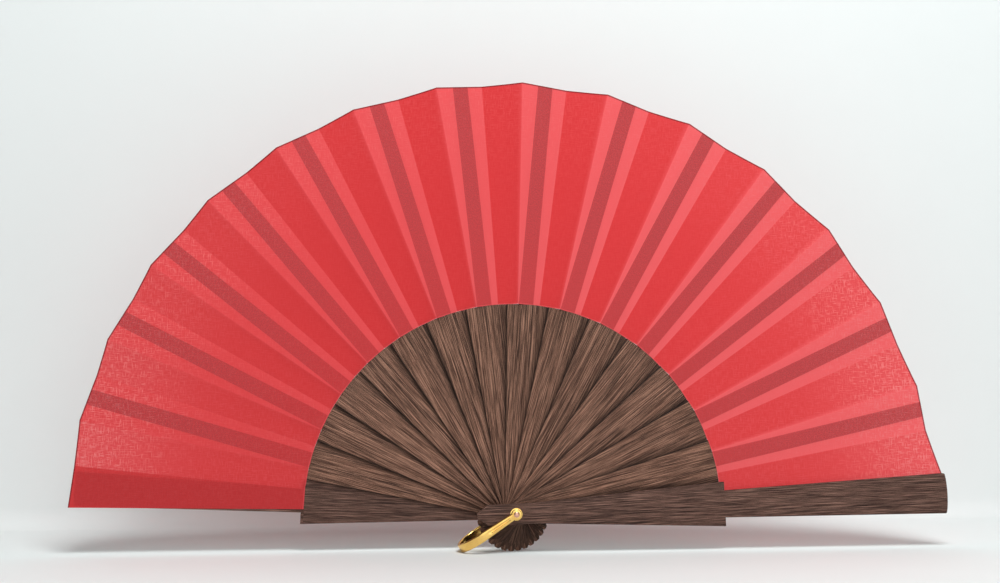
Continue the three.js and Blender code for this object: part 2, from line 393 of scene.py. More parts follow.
class NodeBench:
    """Adds nodes to one tree and links them."""

    def __init__(self, tree: bpy.types.NodeTree) -> None:
        """Starts on a tree.

        Args:
            tree: The tree to add nodes to.
        """
        self.tree = tree
        self.count = 0

    def feed(self, socket: bpy.types.NodeSocket, value: Feed) -> None:
        """Gives a socket a link or a plain value.

        Args:
            socket: The socket to feed.
            value: A socket to link from, or a value.
        """
        if isinstance(value, bpy.types.NodeSocket):
            self.tree.links.new(value, socket)
        elif isinstance(value, (tuple, list)) and socket.type == "RGBA":
            socket.default_value = (*value, 1.0)
        else:
            socket.default_value = value

    def add(
        self, kind: str, inputs: dict[Union[str, int], Feed] | None = None, **settings: object
    ) -> bpy.types.Node:
        """Adds a node.

        Args:
            kind: The node's type, such as ShaderNodeMath.
            inputs: Values or links for its inputs, by name or number.
            **settings: Its other settings.

        Returns:
            The node.
        """
        node = self.tree.nodes.new(kind)
        node.location = (180.0 * (self.count % 12), -220.0 * (self.count // 12))
        self.count += 1
        for name, value in settings.items():
            setattr(node, name, value)
        for name, value in (inputs or {}).items():
            self.feed(node.inputs[name], value)
        return node

    def math(self, operation: str, a: Feed, b: Feed = 0.0, clamp: bool = False) -> bpy.types.NodeSocket:
        """Combines two numbers.

        Args:
            operation: The math node's operation.
            a: First number.
            b: Second number.
            clamp: Whether the result is kept from 0 to 1.

        Returns:
            The result's socket.
        """
        node = self.add("ShaderNodeMath", {0: a, 1: b}, operation=operation, use_clamp=clamp)
        return node.outputs[0]

    def line(self, value: Feed, factor: Feed, offset: float) -> bpy.types.NodeSocket:
        """Multiplies a number by a factor and adds an offset."""
        return self.add("ShaderNodeMath", {0: value, 1: factor, 2: offset}, operation="MULTIPLY_ADD").outputs[0]

    def scaled(self, vector: Feed, factors: Feed) -> bpy.types.NodeSocket:
        """Multiplies a vector part by part."""
        return self.add("ShaderNodeVectorMath", {0: vector, 1: factors}, operation="MULTIPLY").outputs[0]

    def cloud(self, vector: Feed, scale: Feed, detail: float, roughness: float) -> bpy.types.NodeSocket:
        """Adds soft noise.

        Args:
            vector: Place that the noise is read at.
            scale: How many cells fit in a unit.
            detail: Number of finer layers.
            roughness: Strength of the finer layers.

        Returns:
            The noise, about 0.5 on average.
        """
        inputs = {"Vector": vector, "Scale": scale, "Detail": detail, "Roughness": roughness}
        return self.add("ShaderNodeTexNoise", inputs).outputs["Fac"]

    def span(
        self, value: Feed, low: float, high: float, to_low: Feed = 0.0, to_high: Feed = 1.0
    ) -> bpy.types.NodeSocket:
        """Maps one range smoothly onto another.

        Args:
            value: The number to map.
            low: Start of its range.
            high: End of its range.
            to_low: Result at the start.
            to_high: Result at the end.

        Returns:
            The result's socket.
        """
        inputs = {"Value": value, "From Min": low, "From Max": high, "To Min": to_low, "To Max": to_high}
        return self.add("ShaderNodeMapRange", inputs, interpolation_type="SMOOTHSTEP").outputs[0]

    def blend(self, share: Feed, a: Feed, b: Feed) -> bpy.types.NodeSocket:
        """Mixes two colours.

        Args:
            share: Share of the second colour.
            a: First colour.
            b: Second colour.

        Returns:
            The mixed colour.
        """
        node = self.add("ShaderNodeMix", {0: share, 6: a, 7: b}, data_type="RGBA")
        return node.outputs[2]

    def value(self, name: str) -> bpy.types.NodeSocket:
        """Reads a number stored at the mesh's points."""
        return self.add("ShaderNodeAttribute", attribute_name=name).outputs["Fac"]

    def place(self, name: str) -> bpy.types.NodeSocket:
        """Reads a vector stored at the mesh's points."""
        return self.add("ShaderNodeAttribute", attribute_name=name).outputs["Vector"]


def new_group(
    name: str, inputs: dict[str, str], outputs: Sequence[str]
) -> tuple[NodeBench, bpy.types.Node, bpy.types.Node]:
    """Starts a node group.

    Args:
        name: Name of the group.
        inputs: Socket types by input name.
        outputs: Names of its outputs, all numbers.

    Returns:
        A bench on the group, its input node and its output node.
    """
    tree = bpy.data.node_groups.new(name, "ShaderNodeTree")
    for label, kind in inputs.items():
        tree.interface.new_socket(name=label, in_out="INPUT", socket_type=kind)
    for label in outputs:
        tree.interface.new_socket(name=label, in_out="OUTPUT", socket_type="NodeSocketFloat")
    bench = NodeBench(tree)
    return bench, bench.add("NodeGroupInput"), bench.add("NodeGroupOutput")


class SharedEffects:
    """Node groups that several finishes use, each built once."""

    def __init__(self) -> None:
        """Builds every group."""
        self.grain = self._grain()
        self.weave = self._weave()
        self.wear = self._wear()

    @staticmethod
    def closed(bench: NodeBench, result: bpy.types.Node, **sockets: Feed) -> bpy.types.NodeTree:
        """Links a group's results to its output node.

        Args:
            bench: The bench on the group.
            result: The group's output node.
            **sockets: Sources by output name.

        Returns:
            The group.
        """
        for name, socket in sockets.items():
            bench.feed(result.inputs[name], socket)
        return bench.tree

    def _grain(self) -> bpy.types.NodeTree:
        """Straight wood grain along z: fine fibres, broad bands and short dark pores.

        Returns:
            The group. Place is in metres.
        """
        sockets = {"Place": "NodeSocketVector"} | dict.fromkeys(("Fibre Count", "Waviness"), "NodeSocketFloat")
        bench, given, result = new_group("wood_grain", sockets, ("Fibre", "Band", "Pores", "Relief"))
        place = given.outputs["Place"]
        sway = bench.cloud(bench.scaled(place, (45.0, 45.0, 11.0)), 1.0, 1.0, 0.5)
        sway = bench.math("MULTIPLY", bench.math("SUBTRACT", sway, 0.5), given.outputs["Waviness"])
        shift = bench.add("ShaderNodeCombineXYZ", {0: sway, 1: 0.0, 2: 0.0}).outputs[0]
        bent = bench.add("ShaderNodeVectorMath", {0: place, 1: shift}, operation="ADD").outputs[0]
        counts = bench.add("ShaderNodeCombineXYZ", {
            0: given.outputs["Fibre Count"],
            1: given.outputs["Fibre Count"],
            2: bench.math("MULTIPLY", given.outputs["Fibre Count"], 0.008),
        }).outputs[0]
        fine = bench.cloud(bench.scaled(bent, counts), 1.0, 3.0, 0.75)
        fibre = bench.span(fine, 0.45, 0.63)
        band = bench.span(bench.cloud(bench.scaled(bent, (420.0, 420.0, 8.0)), 1.0, 3.0, 0.6), 0.2, 0.78)
        dash = bench.cloud(bench.scaled(bent, (1700.0, 1700.0, 75.0)), 1.0, 1.0, 0.5)
        pores = bench.span(dash, 0.52, 0.66)
        relief = bench.math("SUBTRACT", fibre, pores)
        return self.closed(bench, result, Fibre=fibre, Band=band, Pores=pores, Relief=relief)

    def _weave(self) -> bpy.types.NodeTree:
        """Plain weave in x and y of Place: crossings, thread by thread tone, and thick slubs.

        Returns:
            The group. Place is in metres.
        """
        sockets = {"Place": "NodeSocketVector", "Threads": "NodeSocketFloat"}
        bench, given, result = new_group("plain_weave", sockets, ("Crossing", "Thread", "Slub"))
        place = given.outputs["Place"]
        jitter = bench.cloud(bench.scaled(place, (90.0, 90.0, 90.0)), 1.0, 1.0, 0.5)
        drift = bench.math("MULTIPLY", jitter, 0.0012)
        loose = bench.add("ShaderNodeVectorMath", {0: place, 1: drift}, operation="ADD")
        parts = bench.add("ShaderNodeSeparateXYZ", {0: loose.outputs[0]}).outputs
        waves = []
        for part in parts[:2]:
            turns = bench.math("MULTIPLY", bench.math("MULTIPLY", part, given.outputs["Threads"]), math.pi)
            waves.append(bench.math("SINE", turns))
        crossing = bench.line(bench.math("MULTIPLY", *waves), 0.5, 0.5)
        warp = bench.cloud(bench.scaled(place, (2100.0, 260.0, 1.0)), 1.0, 2.0, 0.6)
        weft = bench.cloud(bench.scaled(place, (260.0, 2100.0, 1.0)), 1.0, 2.0, 0.6)
        thread = bench.math("MULTIPLY", bench.math("ADD", warp, weft), 0.5)
        slub = bench.math("MAXIMUM", bench.span(warp, 0.5, 0.75), bench.span(weft, 0.5, 0.75))
        return self.closed(bench, result, Crossing=crossing, Thread=thread, Slub=slub)

    def _wear(self) -> bpy.types.NodeTree:
        """Handling marks: soft smudges and fine scratches.

        Returns:
            The group. Place is in metres.
        """
        sockets = {"Place": "NodeSocketVector"}
        bench, given, result = new_group("handling_wear", sockets, ("Smudge", "Scratch"))
        place = given.outputs["Place"]
        smudge = bench.span(bench.cloud(place, 140.0, 3.0, 0.55), 0.35, 0.7)
        drawn = bench.cloud(bench.scaled(place, (2600.0, 500.0, 160.0)), 1.0, 2.0, 0.6)
        scratch = bench.span(drawn, 0.6, 0.72)
        return self.closed(bench, result, Smudge=smudge, Scratch=scratch)


class FinishBench(NodeBench):
    """A bench on a new material, with its Principled shader and its output."""

    def __init__(self, name: str) -> None:
        """Makes the material.

        Args:
            name: Name of the material.
        """
        self.material = bpy.data.materials.new(name)
        self.material.use_nodes = True
        self.material.node_tree.nodes.clear()
        super().__init__(self.material.node_tree)
        self.surface = self.add("ShaderNodeBsdfPrincipled")
        self.out = self.add("ShaderNodeOutputMaterial")
        self.feed(self.out.inputs["Surface"], self.surface.outputs[0])

    def set(self, **values: float) -> None:
        """Sets plain values on the Principled shader.

        Args:
            **values: Values by input name, with underscores for spaces.
        """
        for name, value in values.items():
            self.surface.inputs[name.replace("_", " ")].default_value = value

    def dress(self, **sources: Feed) -> None:
        """Links sources to the Principled shader.

        Args:
            **sources: Sources by input name, with underscores for spaces.
        """
        for name, source in sources.items():
            self.feed(self.surface.inputs[name.replace("_", " ")], source)

    def relief(self, height: Feed, strength: float, distance: float) -> None:
        """Gives the surface a fine relief.

        Args:
            height: Height, from 0 to about 1.
            strength: Strength of the relief.
            distance: Depth in metres that a height of 1 stands for.
        """
        bump = self.add("ShaderNodeBump", {"Height": height, "Strength": strength, "Distance": distance})
        self.dress(Normal=bump.outputs[0])

    def shared(self, group: bpy.types.NodeTree, **inputs: Feed) -> bpy.types.Node:
        """Places a shared effect.

        Args:
            group: Its node group.
            **inputs: Its values by input name, with underscores for spaces.

        Returns:
            The group's node.
        """
        node = self.add("ShaderNodeGroup", node_tree=group)
        for name, value in inputs.items():
            self.feed(node.inputs[name.replace("_", " ")], value)
        return node

    def backed(self, share: Feed, shader: bpy.types.Node) -> None:
        """Mixes another shader into the surface.

        Args:
            share: Share of the other shader.
            shader: The other shader's node.
        """
        mixed = self.add("ShaderNodeMixShader", {0: share, 1: self.surface.outputs[0], 2: shader.outputs[0]})
        self.feed(self.out.inputs["Surface"], mixed.outputs[0])


# ---------------------------------------------------------------------------------------------
# Finishes
# ---------------------------------------------------------------------------------------------


@dataclass(frozen=True)
class WoodFinish:
    """Dark stained hardwood with straight grain."""

    name: str
    dark: Colour
    middle: Colour
    light: Colour
    fibre_count: float = 5200.0
    side_shade: float = 0.9

    def material(self, effects: SharedEffects) -> bpy.types.Material:
        """Builds the material.

        Args:
            effects: The shared node groups.

        Returns:
            The material, which reads grain_place and shade from the mesh.
        """
        bench = FinishBench(self.name)
        place = bench.place("grain_place")
        grain = bench.shared(effects.grain, Place=place, Fibre_Count=self.fibre_count, Waviness=0.0006)
        wear = bench.shared(effects.wear, Place=place)
        colour = bench.blend(grain.outputs["Band"], self.dark, self.middle)
        colour = bench.blend(grain.outputs["Fibre"], colour, self.light)
        colour = bench.blend(bench.math("MULTIPLY", grain.outputs["Pores"], 0.4), colour, self.dark)
        # painted shade: the shade value darkens the wood towards a deep brown, standing in for the shadow
        # between overlapping sticks and on their rounded sides
        shade = bench.math("MULTIPLY", bench.value("shade"), self.side_shade)
        colour = bench.blend(shade, colour, tuple(0.3 * c for c in self.dark))
        rough = bench.line(grain.outputs["Fibre"], -0.1, 0.66)
        rough = bench.math("ADD", rough, bench.math("MULTIPLY", wear.outputs["Smudge"], -0.08))
        bench.dress(Base_Color=colour, Roughness=rough)
        bench.set(Specular_IOR_Level=0.16)
        bench.relief(grain.outputs["Relief"], 0.5, 0.00016)
        return bench.material


@dataclass(frozen=True)
class CottonFinish:
    """Thin red plain-weave cotton that lets some light through."""

    name: str
    deep: Colour
    pale: Colour
    slub: Colour
    hem: Colour
    glued: Colour
    threads: float = 2300.0
    sheerness: float = 0.42

    def material(self, effects: SharedEffects) -> bpy.types.Material:
        """Builds the material.

        Args:
            effects: The shared node groups.

        Returns:
            The material, which reads cloth_place, glue_place, tone (painted light and shade), stuck,
            sheer (painted glow), hem and selvedge from the mesh.
        """
        bench = FinishBench(self.name)
        weave = bench.shared(effects.weave, Place=bench.place("cloth_place"), Threads=self.threads)
        stuck = bench.value("stuck")
        painted_glow = bench.value("painted_glow")
        thread = bench.span(weave.outputs["Thread"], 0.36, 0.64)
        weight = bench.line(painted_glow, 0.5, 0.1)
        # painted light and shade: the tone value mixes the deep red towards the pale lit red
        colour = bench.blend(bench.value("tone"), self.deep, self.pale)
        # painted glow: pale threads and slub specks, scaled by the glow mask, stand in for light shining
        # through the thin cloth; the weave pattern itself is the cloth's own
        colour = bench.blend(bench.math("MULTIPLY", thread, weight), colour, self.pale)
        slubs = bench.math("MULTIPLY", weave.outputs["Slub"], bench.math("MULTIPLY", painted_glow, 0.8))
        colour = bench.blend(slubs, colour, self.slub)
        # glue mottling and painted shade: the band over each slip is darkened towards the glued colour,
        # standing in for the slip's shadow through the cloth
        glue_and_shade = bench.cloud(bench.scaled(bench.place("glue_place"), (2600.0, 1.0, 1400.0)), 1.0, 3.0, 0.7)
        glue_and_shade = bench.math("MULTIPLY", bench.span(glue_and_shade, 0.36, 0.64, 0.38, 0.78), stuck)
        colour = bench.blend(glue_and_shade, colour, self.glued)
        colour = bench.blend(bench.math("MULTIPLY", bench.value("hem"), 0.75), colour, self.hem)
        colour = bench.blend(bench.math("MULTIPLY", bench.value("selvedge"), 0.5), colour, self.pale)
        rough = bench.line(thread, 0.1, 0.82)
        bench.dress(Base_Color=colour, Roughness=rough)
        bench.set(Sheen_Weight=0.1, Sheen_Roughness=0.5, Specular_IOR_Level=0.15)
        raised = bench.math("MULTIPLY", weave.outputs["Slub"], 0.8)
        height = bench.math("ADD", weave.outputs["Crossing"], raised)
        bench.relief(height, 0.35, 0.00008)
        clear = bench.line(stuck, -0.8 * self.sheerness, self.sheerness)
        bench.backed(clear, bench.add("ShaderNodeBsdfTranslucent", {"Color": colour}))
        return bench.material


@dataclass(frozen=True)
class MetalFinish:
    """Polished plated metal with light handling marks."""

    name: str
    bright: Colour
    dull: Colour
    roughness: float

    def material(self, effects: SharedEffects) -> bpy.types.Material:
        """Builds the material.

        Args:
            effects: The shared node groups.

        Returns:
            The material, which reads grain_place from the mesh.
        """
        bench = FinishBench(self.name)
        wear = bench.shared(effects.wear, Place=bench.place("grain_place"))
        mark = bench.math("MULTIPLY", wear.outputs["Smudge"], 0.45)
        mark = bench.math("ADD", mark, bench.math("MULTIPLY", wear.outputs["Scratch"], 0.35), clamp=True)
        rough = bench.line(mark, 0.16, self.roughness)
        bench.dress(Base_Color=bench.blend(mark, self.bright, self.dull), Roughness=rough)
        bench.set(Metallic=1.0)
        raised = bench.math("MULTIPLY", wear.outputs["Smudge"], 0.5)
        height = bench.math("ADD", wear.outputs["Scratch"], raised)
        bench.relief(height, 0.12, 0.00005)
        return bench.material


@dataclass(frozen=True)
class StageFinish:
    """Matt pale paper for the floor and the wall. It can't be seen from behind."""

    name: str
    tint: Colour

    def material(self) -> bpy.types.Material:
        """Builds the material.

        Returns:
            The material.
        """
        bench = FinishBench(self.name)
        tooth = bench.cloud(bench.add("ShaderNodeTexCoord").outputs["Object"], 30.0, 3.0, 0.5)
        lighter = tuple(min(1.0, 1.02 * c) for c in self.tint)
        bench.dress(Base_Color=bench.blend(tooth, self.tint, lighter))
        bench.set(Roughness=0.75, Specular_IOR_Level=0.2)
        behind = bench.add("ShaderNodeNewGeometry").outputs["Backfacing"]
        bench.backed(behind, bench.add("ShaderNodeBsdfTransparent"))
        return bench.material


# ---------------------------------------------------------------------------------------------
# Sticks
# ---------------------------------------------------------------------------------------------


@dataclass(frozen=True)
class StickShape:
    """Outline that guards and ribs share near the rivet."""

    head_length: float = 18.728 * MM
    head_end_half: float = 1.0 * MM
    head_half: float = 4.9 * MM
    head_cut: float = 5.2 * MM
    neck_half: float = 4.8 * MM
    neck_radius: float = 8.0 * MM
    hole_radius: float = 1.19 * MM

    def head_stops(self) -> list[tuple[float, float]]:
        """Half width by place along the stick, up to the neck."""
        return [
            (-self.head_length, self.head_end_half),
            (self.head_cut - self.head_length, self.head_half),
            (self.neck_radius, self.neck_half),
        ]

    def bore(self, reach: float) -> bpy.types.Mesh:
        """Round bar that cuts the rivet's hole.

        Args:
            reach: Half its length along Y.

        Returns:
            The closed mesh.
        """
        draft = MeshDraft()
        draft.tube([circle(self.hole_radius, y, HOLE_STEPS) for y in (-reach, reach)])
        return draft.mesh("bore")


def place_stick(
    name: str,
    mesh: bpy.types.Mesh,
    stick: int,
    layout: FanLayout,
    shade_at: Callable[[Vector], float],
    finish: bpy.types.Material,
) -> bpy.types.Object:
    """Dresses a stick, turns it to its direction and puts it on its body.

    Args:
        name: Name of the piece.
        mesh: The stick's mesh, drawn along +Z.
        stick: Number of the stick, which also shifts its grain.
        layout: Where the sticks stand.
        shade_at: How dark the painted shade is at a point of the stick, from 0 to 1.
        finish: Its wood.

    Returns:
        The object.
    """
    shift = Vector((0.317 * stick, 0.071 * stick, 0.593 * stick))
    point_place(mesh, "grain_place", [v.co + shift for v in mesh.vertices])
    point_value(mesh, "shade", [shade_at(v.co) for v in mesh.vertices])
    mesh.materials.clear()
    mesh.materials.append(finish)
    mesh.transform(layout.placing(layout.angle(stick)))
    made = show(name, mesh)
    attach(made, layout.body(stick))
    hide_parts(layout.node(stick))
    LOG.info("%s: %d faces", name, len(mesh.polygons))
    return made


@dataclass(frozen=True)
class Rib:
    """A rib: a broad thin blade on the rivet, and a thinner slip that carries the cloth."""

    stick: int
    layout: FanLayout
    shape: StickShape = StickShape()
    thickness: float = 0.7 * MM
    blade_half: float = 11.2 * MM
    blade_corner: float = 101.05 * MM
    blade_crown: float = 0.68 * MM
    edge_round: float = 0.22 * MM
    cup: float = 0.12 * MM
    slip_foot: float = 97.5 * MM
    slip_top: float = 211.1 * MM
    slip_half: float = 3.65 * MM
    slip_thickness: float = 0.4 * MM
    slip_setback: float = 0.15 * MM
    slip_skew: float = 0.017
    slip_foot_shift: float = -1.48 * MM
    leaf_inner: float = 101.8 * MM

    def half_at(self, place: float) -> float:
        """Half width of the blade at a place along it."""
        return between([*self.shape.head_stops(), (self.blade_corner, self.blade_half)], place)

    def shade_at(self, point: Vector) -> float:
        """Painted shade on the wood: darkest at a blade's edges and where the next blade lies over it.

        Args:
            point: A point of the rib, drawn along +Z.

        Returns:
            The painted shade's strength, from 0 to 1.
        """
        # beyond the blade, the slip gets a flat quarter of the painted shade
        if point.z > self.blade_corner + 0.2 * MM:
            return 0.25
        half = self.half_at(point.z)
        step = math.radians(self.layout.angle(self.stick) - self.layout.angle(self.stick + 1))
        shown = max(1.5 * MM, max(point.z, 0.0) * math.sin(step))
        share = (point.x + half) / shown
        # painted shade: a dark line at the blade's own edge and a darkening under the next blade stand in for
        # the shadow between overlapping blades
        return max(1.0 - smooth(0.015, 0.055, share), 0.65 * smooth(0.8, 1.0, share))

    def blade_loop(self, place: float, inset: float) -> list[Vector]:
        """Section across the blade.

        Args:
            place: Place along the stick.
            inset: How far the section is drawn in, at a rounded end.

        Returns:
            A closed loop of points.
        """
        half = self.half_at(place) - inset
        face = self.thickness / 2 - 0.7 * inset
        edge = min(self.edge_round, face * 0.9)
        crown = self.blade_crown * smooth(self.blade_corner - 12 * MM, self.blade_corner, place)
        flat = [-1.0, -0.975, -0.95, -0.92, -0.88, -0.8, *[i / 10 for i in range(-7, 8)], 0.8, 0.9, 1.0]
        front = [(-half, -face + edge), (-half + 0.3 * edge, -face + 0.3 * edge)]
        front += [(s * (half - edge), -face) for s in flat]
        front += [(half - 0.3 * edge, -face + 0.3 * edge), (half, -face + edge)]
        outline = front + [(x, -y) for x, y in reversed(front)]
        depth = self.layout.depth(self.stick)
        loop = []
        for x, y in outline:
            s = x / half
            loop.append(Vector((x, depth + y + self.cup * (2 * s * s - 1), place + crown * (1 - s * s))))
        return loop

    def blade(self) -> bpy.types.Mesh:
        """The blade from its head to its broad end."""
        low, high = -self.shape.head_length, self.blade_corner
        edge = self.edge_round
        rows = [(low, edge), (low + 0.3 * edge, 0.3 * edge), (low + edge, 0.0)]
        rows += [(self.shape.head_cut + low, 0.0), (-9 * MM, 0.0), (0.0, 0.0), (self.shape.neck_radius, 0.0)]
        neck = self.shape.neck_radius
        rows += [(neck + (high - neck) * i / 9, 0.0) for i in range(1, 9)]
        rows += [(high - 6 * MM, 0.0), (high - edge, 0.0), (high - 0.3 * edge, 0.3 * edge), (high, edge)]
        draft = MeshDraft()
        draft.tube([self.blade_loop(place, inset) for place, inset in sorted(rows)])
        return draft.mesh("blade")

    def slip_edge(self, radius: float, side: int) -> float:
        """Place across the stick of one edge of the slip.

        Args:
            radius: Distance from the rivet along the stick.
            side: -1 for the edge towards the back guard, 1 for the other.

        Returns:
            The distance from the stick's middle line.
        """
        middle = self.slip_foot_shift + self.slip_skew * (radius - 98 * MM)
        return middle + side * self.slip_half

    def slip(self) -> bpy.types.Mesh:
        """The thin slip, which tilts with the pleat beyond the blade."""
        slope = self.layout.slope(self.stick)
        depth = self.layout.depth(self.stick) + self.slip_setback
        bevel = 0.09 * MM
        tip = 0.5 * MM
        thinned = 0.55
        rows = [(self.slip_foot, thinned, 0.0), (self.blade_corner + 0.3 * MM, thinned, 0.0)]
        rows.append((self.leaf_inner + 0.6 * MM, 1.0, 0.0))
        rows += [(self.leaf_inner + (self.slip_top - self.leaf_inner) * i / 8, 1.0, 0.0) for i in range(1, 8)]
        for a in (0.0, 0.5, 1.0, 1.35):
            rows.append((self.slip_top - tip * (1 - math.sin(a)), 1.0, tip * (1 - math.cos(a))))
        draft = MeshDraft()
        loops = []
        for radius, share, inset in rows:
            left = self.slip_edge(radius, -1) + inset
            right = self.slip_edge(radius, 1) - inset
            face = self.slip_thickness / 2
            back = face - (1 - share) * self.slip_thickness
            tilt = slope * smooth(self.blade_corner, self.leaf_inner + 2 * MM, radius)
            corners = [
                (left + bevel, -face), (right - bevel, -face), (right, bevel - face), (right, back - bevel),
                (right - bevel, back), (left + bevel, back), (left, back - bevel), (left, bevel - face),
            ]
            loops.append([Vector((x, depth + y + tilt * x, radius)) for x, y in corners])
        draft.tube(loops)
        return draft.mesh("slip")

    def build(self, finish: bpy.types.Material) -> bpy.types.Object:
        """Makes the rib and puts it on its body.

        Args:
            finish: Its wood.

        Returns:
            The object.
        """
        name = f"rib_stick_{self.stick:02d}"
        mesh = joined(name, self.blade(), [
            ("UNION", self.slip()),
            ("DIFFERENCE", self.shape.bore(BORE_REACH)),
        ])
        keep_edges(mesh, RIB_KEPT_EDGE)
        return place_stick(name, mesh, self.stick, self.layout, self.shade_at, finish)


@dataclass(frozen=True)
class Guard:
    """A guard: a thick outer stick, broad near the rivet and narrower along the leaf."""

    side: Side
    layout: FanLayout
    shape: StickShape = StickShape()
    face: float = 7.9 * MM
    thickness: float = 2.5 * MM
    rebate: float = 0.3 * MM
    rebate_start: float = 101.6 * MM
    shoulder: float = 103.0 * MM
    shoulder_half: float = 10.75 * MM
    waist_half: float = 6.5 * MM
    tip_half: float = 9.9 * MM
    away: tuple[float, float] = (6.5 * MM, 9.9 * MM)
    corner: float = 215.5 * MM
    corner_round: float = 0.8 * MM
    tip: float = 217.1 * MM
    edge_round: float = 0.35 * MM

    @property
    def stick(self) -> int:
        """Number of the stick that this guard is."""
        return 0 if self.side is Side.BACK else LAST_STICK

    def half_at(self, place: float) -> float:
        """Half width of the guard at a place along it."""
        stops = [*self.shape.head_stops(), (self.shoulder, self.shoulder_half)]
        if place <= self.shoulder:
            return between(stops, place)
        return between([(self.shoulder, self.waist_half), (self.corner, self.tip_half)], place)

    def shade_at(self, point: Vector) -> float:
        """Painted shade on the wood, a little darker at the guard's edges."""
        return 0.3 * smooth(0.75, 1.0, abs(point.x) / self.half_at(point.z))

    def half_outline(self, waist: float, tip_half: float) -> list[tuple[float, float]]:
        """One half of the outline, from the head's end to the tip.

        Args:
            waist: Half width beyond the shoulder.
            tip_half: Half width at the tip.

        Returns:
            Points as (across, along).
        """
        shape, r = self.shape, self.corner_round
        half = [
            (shape.head_end_half, -shape.head_length),
            (shape.head_half, shape.head_cut - shape.head_length),
            (shape.neck_half, shape.neck_radius),
            (self.shoulder_half, self.shoulder),
            (waist, self.shoulder),
            (tip_half, self.corner),
        ]
        for i in range(1, 5):
            a = math.pi / 2 * i / 5
            half.append((tip_half - r * (1 - math.cos(a)), self.corner + r * math.sin(a)))
        crown = self.tip - self.corner - r
        for i in range(1, 5):
            x = (tip_half - r) * (1 - i / 5)
            half.append((x, self.tip - crown * (x / tip_half) ** 2))
        return half

    def outline(self) -> list[tuple[float, float]]:
        """The outline, from the head's end round the tip and back.

        Returns:
            Points as (across, along), all the way round.
        """
        near = self.half_outline(self.waist_half, self.tip_half)
        far = self.half_outline(*self.away)
        return [*near, (0.0, self.tip), *[(-x, z) for x, z in reversed(far)]]

    @staticmethod
    def drawn_in(outline: Sequence[tuple[float, float]], by: float) -> list[tuple[float, float]]:
        """Moves every side of an outline inwards.

        Args:
            outline: The closed outline, counterclockwise seen with x to the right and z up.
            by: The distance.

        Returns:
            The smaller outline.
        """
        count = len(outline)
        result = []
        for i, (x, z) in enumerate(outline):
            before = Vector((x - outline[i - 1][0], z - outline[i - 1][1])).normalized()
            after = Vector((outline[(i + 1) % count][0] - x, outline[(i + 1) % count][1] - z)).normalized()
            inward = (Vector((-before.y, before.x)) + Vector((-after.y, after.x)))
            inward = inward / max(0.3, 1 + before.dot(after))
            result.append((x + inward.x * by, z + inward.y * by))
        return result

    def build(self, finish: bpy.types.Material) -> bpy.types.Object:
        """Makes the guard and puts it on its body.

        Args:
            finish: Its wood.

        Returns:
            The object.
        """
        name = f"{self.side.name.lower()}_guard_stick"
        sign = self.side.value
        outline = self.outline()
        edge = self.edge_round
        steps = [
            (0.12 * MM, self.face), (0.0, self.face + 0.12 * MM), (0.0, self.face + self.thickness - edge),
            (0.3 * edge, self.face + self.thickness - 0.3 * edge), (edge, self.face + self.thickness),
        ]
        draft = MeshDraft()
        draft.tube([
            [Vector((x, sign * y, z)) for x, z in self.drawn_in(outline, inset)] for inset, y in steps
        ])
        length = self.tip + 5 * MM - self.rebate_start
        block = MeshDraft()
        half = 15 * MM
        low, high = sorted((sign * (self.face - self.rebate), sign * (self.face + self.rebate)))
        block.tube([
            [Vector((x, y, z)) for x, y in ((-half, low), (half, low), (half, high), (-half, high))]
            for z in (self.rebate_start, self.rebate_start + length)
        ])
        mesh = joined(name, draft.mesh("plate"), [
            ("DIFFERENCE", block.mesh("rebate")),
            ("DIFFERENCE", self.shape.bore(BORE_REACH)),
        ])
        keep_edges(mesh, GUARD_KEPT_EDGE)
        return place_stick(name, mesh, self.stick, self.layout, self.shade_at, finish)


# ---------------------------------------------------------------------------------------------
# Leaf
# ---------------------------------------------------------------------------------------------


@dataclass(frozen=True)
class ClothSpot:
    """One point of the leaf, with what the cloth is like there and the light and shade painted on it."""

    place: Vector
    weight: float
    stuck: float
    # painted light and shade on the cloth
    tone: float
    # painted glow of light shining through the cloth
    painted_glow: float
    across: float


